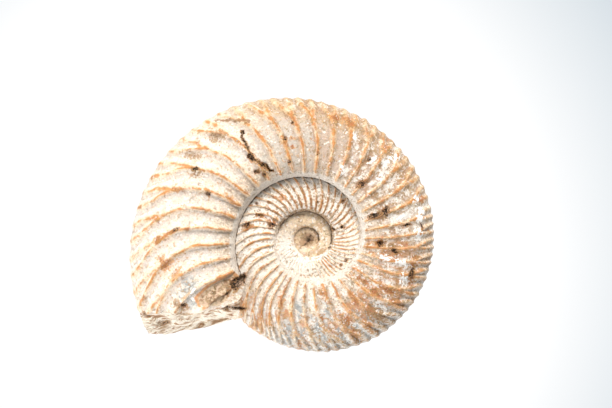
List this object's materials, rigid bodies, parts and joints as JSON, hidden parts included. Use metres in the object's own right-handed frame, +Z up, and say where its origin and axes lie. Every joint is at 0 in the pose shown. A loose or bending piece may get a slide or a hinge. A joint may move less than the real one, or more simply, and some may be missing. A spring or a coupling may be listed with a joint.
{
  "type": "ammonite fossil",
  "caption": "Flat coiled fossil shell with forked ribs, an open umbilicus and a broken mouth, lying on its flank as a specimen or display piece.",
  "frame": {"origin": "centre of the bounding box on the plane the fossil rests on", "axes": "+Z up through the coil, close to its axis, with the fossil lying on its lower flank; +X along the longest side; the mouth faces -Y on the -X side"},
  "size_m": [0.0758, 0.0634, 0.0263],
  "materials": {
    "fossil_shell": "matt limestone replacement, cream and grey with orange-brown rib crests, pits and chalky crust"
  },
  "bodies": {
    "root": {"ammonite": "fossil_shell"}
  },
  "joints": []
}
